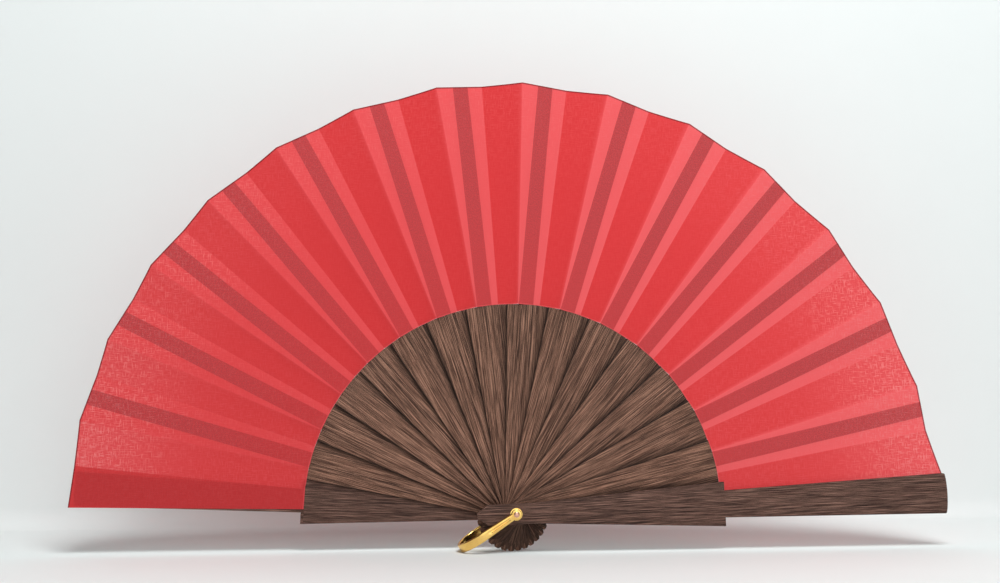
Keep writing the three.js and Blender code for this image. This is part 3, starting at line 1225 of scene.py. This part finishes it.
@dataclass(frozen=True)
class Leaf:
    """The pleated cloth. Each piece runs from the middle of one stick to the middle of the next."""

    layout: FanLayout
    inner: float = 101.8 * MM
    outer_high: float = 212.8 * MM
    outer_front: float = 215.9 * MM
    outer_low: float = 211.6 * MM
    setback: float = 0.25 * MM
    guard_cloth: float = 8.05 * MM
    back_panel: tuple[float, float] = (-2.0, 3.3)
    front_panel: tuple[float, float] = (-2.6, 2.6)
    crease_width: float = 0.28 * MM
    slip_edge_width: float = 0.12 * MM
    row_count: int = 30

    def turns(self, stick: int) -> tuple[float, float]:
        """Angles of a glued panel's two creases from its stick, towards the front guard."""
        if stick == 0:
            return self.back_panel
        if stick == LAST_STICK:
            return self.front_panel
        return (-self.layout.panel_turn, self.layout.panel_turn)

    def crease(self, stick: int, side: int, share: float) -> Vector:
        """A point on a crease, from the pivot.

        Args:
            stick: Number of the stick.
            side: 0 for the crease towards the back guard, 1 for the other.
            share: 0 at the leaf's inner edge and 1 at its outer edge.

        Returns:
            The point.
        """
        turn = self.turns(stick)[side]
        outer = self.outer_low if side else self.outer_high
        if stick == LAST_STICK:
            outer = self.outer_front
        radius = self.inner + (outer - self.inner) * share
        if stick == 0:
            y = self.guard_cloth
        elif stick == LAST_STICK:
            y = -self.guard_cloth
        else:
            rise = self.layout.slope(stick) * math.sin(math.radians(turn))
            y = self.layout.depth(stick) - self.setback + rise * radius
        angle = math.radians(self.layout.angle(stick) - turn)
        return Vector((radius * math.cos(angle), y, radius * math.sin(angle)))

    def glued(self, stick: int, across: float, share: float) -> Vector:
        """A point on a glued panel, across from its first crease at 0 to its second at 1."""
        return lerp(self.crease(stick, 0, share), self.crease(stick, 1, share), across)

    def free(self, stick: int, across: float, share: float) -> Vector:
        """A point on the free panel behind a stick.

        Args:
            stick: Number of the stick ahead of the panel.
            across: 0 at the valley crease behind and 1 at the ridge crease ahead.
            share: 0 at the leaf's inner edge and 1 at its outer edge.

        Returns:
            The point. The panel bellies back a little, clear of the slip in the closed fan.
        """
        start = self.crease(stick - 1, 1, share)
        end = self.crease(stick, 0, share)
        point = lerp(start, end, across)
        step = min(self.layout.pitch, start.y - end.y)
        bulge = 0.3 * across + 0.7 * across ** 3
        point.y = start.y + (end.y - start.y + step) * across - step * bulge
        return point

    def slip_share(self, rib: Rib, side: int, share: float) -> float:
        """Where a slip's edge lies across its glued panel, from 0 to 1."""
        left = self.crease(rib.stick, 0, share)
        right = self.crease(rib.stick, 1, share)
        turn = math.radians(self.layout.panel_turn)
        start = -math.hypot(left.x, left.z) * math.sin(turn)
        end = math.hypot(right.x, right.z) * math.sin(turn)
        radius = self.inner + (self.outer_low - self.inner) * share
        return (rib.slip_edge(radius, side) - start) / (end - start)

    def glued_spot(self, stick: int, across: float, share: float, weight: float, stuck: float) -> ClothSpot:
        """Describes the cloth at a point of a glued panel, with painted light and shade."""
        turn = math.radians(self.layout.angle(stick))
        side = 1.0 - abs(math.sin(turn))
        place = self.glued(stick, across, share)
        outer = smooth(0.45, 1.0, share)
        # painted light: panels on the right of the fan are lighter, the inner rows a little lighter; painted
        # shade: darker where the slip lies behind
        tone = 0.78 + 0.5 * math.cos(turn) + 0.1 * smooth(0.6, 0.0, share)
        tone = max(0.35, min(1.0, tone)) * (1.0 - 0.6 * stuck)
        # painted glow of light through the cloth, stronger on near-level sticks and towards the outer edge
        painted_glow = (0.15 + 0.85 * side) * (0.15 + 0.85 * outer)
        if stick in (0, LAST_STICK):
            return ClothSpot(place, weight, 0.3, 0.12, 0.05, across)
        held = stuck * (0.45 + 0.55 * smooth(0.0, 0.55, share))
        return ClothSpot(place, weight, held, tone, painted_glow, across)

    def free_spot(self, stick: int, across: float, share: float, weight: float) -> ClothSpot:
        """Describes the cloth at a point of a free panel, with painted light."""
        level = math.sin(math.radians(self.layout.angle(stick)))
        side = 1.0 - abs(level)
        outer = smooth(0.3, 1.0, share)
        near = 0.8 * smooth(0.9, 1.0, across)
        lean = math.cos(math.radians(self.layout.angle(stick)))
        # painted light: lighter on near-level sticks and towards the outer edge, a light band beside the ridge
        # crease, lighter on the right of the fan
        tone = 0.12 + 0.55 * side * (0.3 + 0.7 * outer) + near * (0.35 + 0.25 * lean)
        # painted glow of light through the cloth, stronger on near-level sticks and towards the outer edge
        painted_glow = (0.1 + 0.9 * smooth(0.15, 0.75, side)) * (0.12 + 0.88 * smooth(0.5, 1.0, share))
        return ClothSpot(self.free(stick, across, share), weight, 0.0, min(1.0, tone), painted_glow, across)

    def half_columns(self, stick: int, first: bool) -> list[Callable[[float], tuple[float, float]]]:
        """Columns of points over half a glued panel.

        Args:
            stick: Number of the stick that the panel is glued to.
            first: Whether the half is the one towards the back guard.

        Returns:
            Functions from the share along the leaf to (across, stuck), in order.
        """
        crease = self.crease_width

        def width(share: float) -> float:
            return (self.crease(stick, 1, share) - self.crease(stick, 0, share)).length

        if stick in (0, LAST_STICK):
            return [lambda share, a=i / 6: (a, 0.0) for i in range(7)]
        rib = Rib(stick, self.layout)
        edge = self.slip_edge_width
        if first:
            return [
                lambda share: (0.0, 0.0),
                lambda share: (crease / width(share), 0.0),
                lambda share: ((crease / width(share) + self.slip_share(rib, -1, share)) / 2, 0.0),
                lambda share: (self.slip_share(rib, -1, share) - edge / width(share), 0.0),
                lambda share: (self.slip_share(rib, -1, share) + edge / width(share), 1.0),
                lambda share: ((self.slip_share(rib, -1, share) + self.slip_share(rib, 1, share)) / 2, 1.0),
            ]
        return [
            lambda share: ((self.slip_share(rib, -1, share) + self.slip_share(rib, 1, share)) / 2, 1.0),
            lambda share: (self.slip_share(rib, 1, share) - edge / width(share), 1.0),
            lambda share: (self.slip_share(rib, 1, share) + edge / width(share), 0.0),
            lambda share: ((1.0 - crease / width(share) + self.slip_share(rib, 1, share)) / 2, 0.0),
            lambda share: (1.0 - crease / width(share), 0.0),
            lambda share: (1.0, 0.0),
        ]

    def row_shares(self) -> list[float]:
        """Places of the rows along the leaf, closer together at its two edges."""
        inside = [i / self.row_count for i in range(self.row_count + 1)]
        return sorted({0.0, 0.004, 0.0055, 0.012, *inside[1:-1], 0.99, 0.9935, 0.9955, 1.0})

    def spots(self, stick: int) -> list[list[ClothSpot]]:
        """All points of the piece that joins a stick to the one behind it.

        Args:
            stick: Number of the stick ahead.

        Returns:
            Rows of spots, each from the back guard's side to the front guard's.
        """
        before = self.half_columns(stick - 1, first=False)
        after = self.half_columns(stick, first=True)
        free_width = (self.crease(stick, 0, 0.5) - self.crease(stick - 1, 1, 0.5)).length
        near = self.crease_width / free_width
        middle = [near, 0.14, 0.28, 0.42, 0.56, 0.7, 0.8, 0.88, 0.95, 1.0 - near]
        rows = []
        for share in self.row_shares():
            row = []
            for column in before:
                across, stuck = column(share)
                row.append(self.glued_spot(stick - 1, across, share, 0.0, stuck))
            start = self.crease(stick - 1, 1, share)
            end = self.crease(stick, 0, share)
            low, high = math.atan2(start.z, start.x), math.atan2(end.z, end.x)
            for across in middle:
                spot = self.free(stick, across, share)
                weight = (math.atan2(spot.z, spot.x) - low) / (high - low)
                row.append(self.free_spot(stick, across, share, weight))
            for column in after:
                across, stuck = column(share)
                row.append(self.glued_spot(stick, across, share, 1.0, stuck))
            rows.append(row)
        return rows

    def build_piece(self, stick: int, finish: bpy.types.Material) -> bpy.types.Object:
        """Makes the piece of leaf that joins a stick to the one behind it.

        Args:
            stick: Number of the stick ahead.
            finish: Its cotton.

        Returns:
            The object, left in place in the frame and not put on a body.
        """
        name = f"leaf_pleat_{stick:02d}"
        rows = self.spots(stick)
        pivot = self.layout.pivot()
        draft = MeshDraft()
        numbers = [draft.row(spot.place + pivot for spot in row) for row in rows]
        draft.sheet(numbers, closed=False)
        mesh = draft.mesh(name, solid=False)
        spots = [spot for row in rows for spot in row]
        point_place(mesh, "cloth_place", [Vector((s.place.x, s.place.z, 0.0)) for s in spots])
        turn = Matrix.Rotation(-math.radians(90.0 - self.layout.angle(stick)), 3, "Y")
        point_place(mesh, "glue_place", [turn @ s.place + Vector((0.1 * stick, 0, 0)) for s in spots])
        point_value(mesh, "stuck", [s.stuck for s in spots])
        # painted light and shade, and painted glow, stored for the cotton
        point_value(mesh, "tone", [s.tone for s in spots])
        point_value(mesh, "painted_glow", [s.painted_glow for s in spots])
        edges = [1.0 if share > 0.995 else 0.0 for share in self.row_shares()]
        point_value(mesh, "hem", [edge for edge, row in zip(edges, rows) for _ in row])
        starts = [1.0 if share < 0.0045 else 0.0 for share in self.row_shares()]
        point_value(mesh, "selvedge", [start for start, row in zip(starts, rows) for _ in row])
        mesh.shade_smooth()
        mesh.materials.append(finish)
        made = show(name, mesh)
        behind, ahead = self.layout.body(stick - 1), self.layout.body(stick)
        valley = self.crease(stick - 1, 1, 0.5) + pivot
        ridge = self.crease(stick, 0, 0.5) + pivot
        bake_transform(made)
        nodes = [f"leaf_glued_{stick - 1:02d}", f"leaf_free_{stick:02d}"]
        if stick == LAST_STICK:
            nodes.append(f"leaf_glued_{stick:02d}")
        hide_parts(*nodes)
        widths = [sum((b.place - a.place).length for a, b in zip(row, row[1:])) for row in rows]
        length = (self.outer_front if stick == LAST_STICK else self.outer_high) - self.inner
        area = sum(polygon.area for polygon in made.data.polygons)
        measures = (max(widths) / MM, length / MM, area / MM ** 2)
        LOG.info("%s: flat %.1f x %.1f mm, area %.0f mm2", name, *measures)
        return made

    @staticmethod
    def stick_piece(stick: int) -> str:
        """Name of the visible piece of a stick."""
        if stick == 0:
            return "back_guard_stick"
        return "front_guard_stick" if stick == LAST_STICK else f"rib_stick_{stick:02d}"


# ---------------------------------------------------------------------------------------------
# Rivet, washers and ring
# ---------------------------------------------------------------------------------------------


@dataclass(frozen=True)
class PivotHardware:
    """The rivet and the two washers on it."""

    layout: FanLayout
    shank: float = 1.1 * MM
    head: float = 1.4 * MM
    head_inner: float = 12.6 * MM
    head_outer: float = 13.28 * MM
    washer_radius: float = 3.0 * MM
    washer_inner: float = 10.55 * MM
    washer_outer: float = 10.85 * MM
    bore: float = 1.19 * MM

    def rivet_mesh(self) -> bpy.types.Mesh:
        """The shank with a domed head at each end."""
        dome = self.head_outer - self.head_inner
        cap = []
        for i in range(9):
            a = math.pi / 2 * i / 8
            cap.append((self.head * math.sin(a), self.head_inner + 0.25 * dome + 0.75 * dome * math.cos(a)))
        cap = [(max(radius, 1e-5), y) for radius, y in cap]
        cap += [(self.head, self.head_inner + 0.05 * MM), (self.head - 0.05 * MM, self.head_inner)]
        profile = [(radius, -y) for radius, y in cap] + [(self.shank, -self.head_inner)]
        profile += [(self.shank, self.head_inner)] + list(reversed(cap))
        return turned(profile, RIVET_STEPS, closed=False).mesh("pivot_pin")

    def washer_mesh(self, side: Side) -> bpy.types.Mesh:
        """A thin washer with rounded edges.

        Args:
            side: The face of the fan that it lies on.

        Returns:
            The mesh.
        """
        sign, r = side.value, 0.08 * MM
        near, far = self.washer_inner, self.washer_outer
        profile = [
            (self.bore, near + r), (self.bore + r, near),
            (self.washer_radius - r, near), (self.washer_radius, near + r),
            (self.washer_radius, far - r), (self.washer_radius - 0.4 * r, far - 0.4 * r),
            (self.washer_radius - 1.5 * r, far), (self.bore + r, far), (self.bore, far - r),
        ]
        return turned([(radius, sign * y) for radius, y in profile], METAL_STEPS, closed=True).mesh("washer")

    def build(self, copper: bpy.types.Material, gilt: bpy.types.Material) -> list[bpy.types.Object]:
        """Makes the rivet and the washers.

        Args:
            copper: Finish of the rivet.
            gilt: Finish of the washers.

        Returns:
            The three objects.
        """
        parts = [("pivot_pin", self.rivet_mesh(), copper, "pivot_rivet", Slot.COPPER)]
        for side in Side:
            label = side.name.lower()
            parts.append((f"{label}_washer", self.washer_mesh(side), gilt, f"washer_{label}", Slot.GILT))
        made = []
        for name, mesh, finish, node, slot in parts:
            keep_edges(mesh, HARDWARE_KEPT_EDGE)
            point_place(mesh, "grain_place", [v.co.copy() for v in mesh.vertices])
            mesh.materials.append(finish)
            mesh.transform(Matrix.Translation(self.layout.pivot()))
            piece = show(name, mesh)
            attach(piece, "back_guard_body")
            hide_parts(node)
            LOG.info("%s: %d faces", name, len(mesh.polygons))
            made.append(piece)
        return made


@dataclass(frozen=True)
class CarryRing:
    """The carry ring: a U of flat band that widens to its bend, with an eye at each end."""

    layout: FanLayout
    direction: float = 213.0
    leg_offset: float = 11.75 * MM
    thickness: float = 1.5 * MM
    length: float = 31.6 * MM
    eye_radius: float = 2.5 * MM
    eye_width: float = 3.2 * MM
    bend_width: float = 4.4 * MM
    edge_round: float = 0.7 * MM
    bore: float = 1.19 * MM
    groove_start: float = 3.6 * MM
    groove_end: float = 15.6 * MM
    groove_half: float = 0.5 * MM
    groove_depth: float = 0.32 * MM
    bend_steps: int = 28

    def section(self, centre: Vector, normal: Vector, width: float, groove: float) -> list[Vector]:
        """Section across the band.

        Args:
            centre: Middle of the band.
            normal: Direction out of the loop.
            width: Width of the band.
            groove: Depth of the groove in its outer face.

        Returns:
            A closed loop of points.
        """
        half, face, r = width / 2, self.thickness / 2, self.edge_round
        g = self.groove_half
        arc = [math.pi / 2 * i / 4 for i in range(5)]
        outline = [(-g * 1.25, face), (-g * 0.75, face - groove), (0.0, face - 1.12 * groove)]
        outline += [(g * 0.75, face - groove), (g * 1.25, face)]
        outline += [(half - r + r * math.sin(a), face - r + r * math.cos(a)) for a in arc]
        outline += [(half - r + r * math.cos(a), r - face - r * math.sin(a)) for a in arc]
        outline += [(r - half - r * math.sin(a), r - face - r * math.cos(a)) for a in arc]
        outline += [(r - half - r * math.cos(a), face - r + r * math.sin(a)) for a in arc]
        return [Vector((x, 0, 0)) + centre + normal * out for x, out in outline]

    def band(self) -> bpy.types.Mesh:
        """The band from one eye round the bend to the other."""
        start = self.length - self.thickness / 2 - self.leg_offset
        loops = []
        along = [0.0, 2.0, 3.2, 3.8, 4.6, 7.0, 10.0, 12.5, 14.2, 15.2, 15.8, 16.8, 18.0]
        for place in (z * MM for z in along):
            width = self.eye_width + (self.bend_width - self.eye_width) * place / start
            groove = self.groove_depth * smooth(self.groove_start, self.groove_start + 1.0 * MM, place)
            groove *= 1.0 - smooth(self.groove_end - 1.4 * MM, self.groove_end, place)
            centre = Vector((0, -self.leg_offset, place))
            loops.append(self.section(centre, Vector((0, -1, 0)), width, groove))
        for step in range(self.bend_steps + 1):
            turn = math.pi * (step / self.bend_steps - 0.5)
            normal = Vector((0, math.sin(turn), math.cos(turn)))
            centre = normal * self.leg_offset + Vector((0, 0, start))
            loops.append(self.section(centre, normal, self.bend_width, 0.0))
        for place in (z * MM for z in (18.0, 12.0, 6.0, 0.0)):
            width = self.eye_width + (self.bend_width - self.eye_width) * place / start
            loops.append(self.section(Vector((0, self.leg_offset, place)), Vector((0, 1, 0)), width, 0.0))
        draft = MeshDraft()
        draft.tube(loops)
        return draft.mesh("band")

    def eye(self, side: Side) -> bpy.types.Mesh:
        """The round eye at one end, with rounded rims."""
        sign, r = side.value, 0.35 * MM
        near, far = self.leg_offset - self.thickness / 2, self.leg_offset + self.thickness / 2
        turns = (0.0, 0.5, 1.0, math.pi / 2)
        rim = [(self.eye_radius - r + r * math.sin(a), far - r + r * math.cos(a)) for a in turns]
        rim += [(self.eye_radius, near + r), (self.eye_radius - 0.3 * r, near + 0.3 * r)]
        rim.append((self.eye_radius - r, near))
        profile = [(self.bore, far), *rim, (self.bore, near)]
        return turned([(radius, sign * y) for radius, y in profile], METAL_STEPS, closed=True).mesh("eye")

    def plug(self) -> bpy.types.Mesh:
        """Round bar that clears the rivet's way through both eyes."""
        draft = MeshDraft()
        draft.tube([circle(self.bore, y, METAL_STEPS) for y in (-PLUG_REACH, PLUG_REACH)])
        return draft.mesh("plug")

    def build(self, finish: bpy.types.Material) -> bpy.types.Object:
        """Makes the ring and puts it on its body.

        Args:
            finish: Its metal.

        Returns:
            The object.
        """
        mesh = joined("ring_band", self.band(), [
            ("UNION", self.eye(Side.FRONT)),
            ("UNION", self.eye(Side.BACK)),
            ("DIFFERENCE", self.plug()),
        ])
        keep_edges(mesh, RING_KEPT_EDGE)
        point_place(mesh, "grain_place", [v.co.copy() for v in mesh.vertices])
        mesh.materials.clear()
        mesh.materials.append(finish)
        mesh.transform(self.layout.placing(self.direction))
        made = show("ring_band", mesh)
        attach(made, "ring_body")
        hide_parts("carry_ring")
        LOG.info("ring_band: %d faces", len(mesh.polygons))
        return made


# ---------------------------------------------------------------------------------------------
# Stage, light and camera
# ---------------------------------------------------------------------------------------------


@dataclass(frozen=True)
class Studio:
    """Pale floor and wall, soft lights and the camera."""

    layout: FanLayout
    wall: float = 0.125
    bend: float = 0.012
    reach: float = 3.0
    height: float = 2.5
    lens: float = 44.1
    camera_place: tuple[float, float, float] = (-0.0718, -0.600, 0.060)
    yaw: float = 6.21
    pitch: float = 4.54
    roll: float = -0.10

    def sweep(self, finish: bpy.types.Material) -> bpy.types.Object:
        """Makes the floor and the wall as one bent sheet.

        Args:
            finish: Its paper.

        Returns:
            The object, marked as stage.
        """
        line = [(-self.reach, 0.0), (self.wall - self.bend, 0.0)]
        for i in range(1, 9):
            a = math.pi / 2 * i / 8
            line.append((self.wall - self.bend + self.bend * math.sin(a), self.bend * (1 - math.cos(a))))
        line.append((self.wall, self.height))
        draft = MeshDraft()
        rows = [draft.row([Vector((x, y, z)) for x in (-self.reach, self.reach)]) for y, z in line]
        draft.sheet(rows, closed=False)
        sides = (-self.reach, self.reach)
        rear = [draft.row([Vector((x, y, 0.0)) for x in sides]) for y in (self.wall, self.reach)]
        draft.sheet(rear, closed=False)
        mesh = draft.mesh("paper_sweep", solid=False)
        mesh.shade_smooth()
        mesh.materials.append(finish)
        made = show("paper_sweep", mesh)
        return made

    def lamp(
        self, name: str, place: Sequence[float], aim: Sequence[float], size: float, power: float, tint: Colour
    ) -> bpy.types.Object:
        """Adds a soft square lamp.

        Args:
            name: Name of the lamp.
            place: Where it stands.
            aim: What it points at.
            size: Length of its side.
            power: Its power in watts.
            tint: Its colour.

        Returns:
            The lamp.
        """
        data = bpy.data.lights.new(name, "AREA")
        data.shape = "SQUARE"
        data.size = size
        data.energy = power
        data.color = tint
        made = bpy.data.objects.new(name, data)
        bpy.context.scene.collection.objects.link(made)
        made.location = place
        made.rotation_euler = (Vector(aim) - Vector(place)).to_track_quat("-Z", "Y").to_euler()
        return made

    def light(self) -> None:
        """Sets the soft surrounding light and the lamps."""
        world = bpy.data.worlds.new("studio_air")
        world.use_nodes = True
        air = world.node_tree.nodes["Background"]
        air.inputs["Color"].default_value = (0.93, 0.97, 0.97, 1.0)
        bench = NodeBench(world.node_tree)
        seen = bench.add("ShaderNodeLightPath").outputs["Is Camera Ray"]
        strength = bench.line(seen, 0.72, 0.1)
        bench.feed(air.inputs["Strength"], strength)
        bpy.context.scene.world = world
        self.lamp("top_lamp", (0.1, -0.6, 1.05), (0.0, 0.03, 0.05), 0.5, 11.0, (0.98, 1.0, 1.0))
        self.lamp("fill_lamp", (0.25, -1.7, 0.5), (0.0, 0.0, 0.1), 1.4, 8.8, (0.985, 1.0, 1.0))

    def camera(self) -> bpy.types.Object:
        """Adds the camera.

        Returns:
            The camera.
        """
        data = bpy.data.cameras.new("studio_camera")
        data.lens = self.lens
        data.sensor_width = 36.0
        data.clip_start = 0.01
        made = bpy.data.objects.new("studio_camera", data)
        bpy.context.scene.collection.objects.link(made)
        yaw, pitch, roll = (math.radians(a) for a in (self.yaw, self.pitch, self.roll))
        forward = Vector((math.sin(yaw) * math.cos(pitch), math.cos(yaw) * math.cos(pitch), math.sin(pitch)))
        level = Vector((math.cos(yaw), -math.sin(yaw), 0.0))
        above = level.cross(forward)
        right = level * math.cos(roll) + above * math.sin(roll)
        up = above * math.cos(roll) - level * math.sin(roll)
        pose = Matrix((right, up, -forward)).transposed().to_4x4()
        pivot = self.layout.pivot()
        place = Vector(self.camera_place) + Vector((pivot.x, 0.0, pivot.z))
        made.matrix_world = Matrix.Translation(place) @ pose
        bpy.context.scene.camera = made
        return made

    def build(self, finish: bpy.types.Material) -> None:
        """Makes the stage, the lights and the camera.

        Args:
            finish: Paper of the floor and wall.
        """
        self.camera()
        self.sweep(finish)
        self.light()
        scene = bpy.context.scene
        scene.view_settings.view_transform = "Standard"
        scene.view_settings.look = "None"
        LOG.info("studio: floor, wall, lamps and camera")


def main() -> None:
    """Builds the fan and its studio, piece by piece."""
    logging.basicConfig(level=logging.INFO, format="%(name)s %(message)s")
    layout = FanLayout()
    effects = SharedEffects()
    paper = StageFinish("pale_paper", (0.79, 0.82, 0.815)).material()
    Studio(layout).build(paper)
    rib_wood = WoodFinish(
        "rib_wood", (0.02, 0.009, 0.006), (0.11, 0.05, 0.032), (0.45, 0.235, 0.16),
    ).material(effects)
    guard_wood = WoodFinish(
        "guard_wood", (0.018, 0.0085, 0.0065), (0.064, 0.03, 0.022), (0.34, 0.185, 0.14), side_shade=0.5,
    ).material(effects)
    cotton = CottonFinish(
        "pleat_cotton", (0.74, 0.033, 0.036), (0.95, 0.13, 0.14), (0.96, 0.34, 0.33), (0.14, 0.008, 0.012),
        (0.3, 0.045, 0.05),
    ).material(effects)
    gilt = MetalFinish("gilt_metal", (1.0, 0.66, 0.2), (0.74, 0.4, 0.09), 0.16).material(effects)
    copper = MetalFinish("copper_pin", (0.8, 0.46, 0.34), (0.55, 0.28, 0.18), 0.26).material(effects)
    Guard(Side.FRONT, layout).build(guard_wood)
    back = Guard(Side.BACK, layout, corner=209.2 * MM, tip=210.4 * MM, away=(5.2 * MM, 6.6 * MM))
    back.build(guard_wood)
    for stick in range(1, RIB_COUNT + 1):
        Rib(stick, layout).build(rib_wood)
    leaf = Leaf(layout)
    for stick in range(1, LAST_STICK + 1):
        leaf.build_piece(stick, cotton)
    PivotHardware(layout).build(copper, gilt)
    CarryRing(layout).build(gilt)


if __name__ == "__main__":
    main()
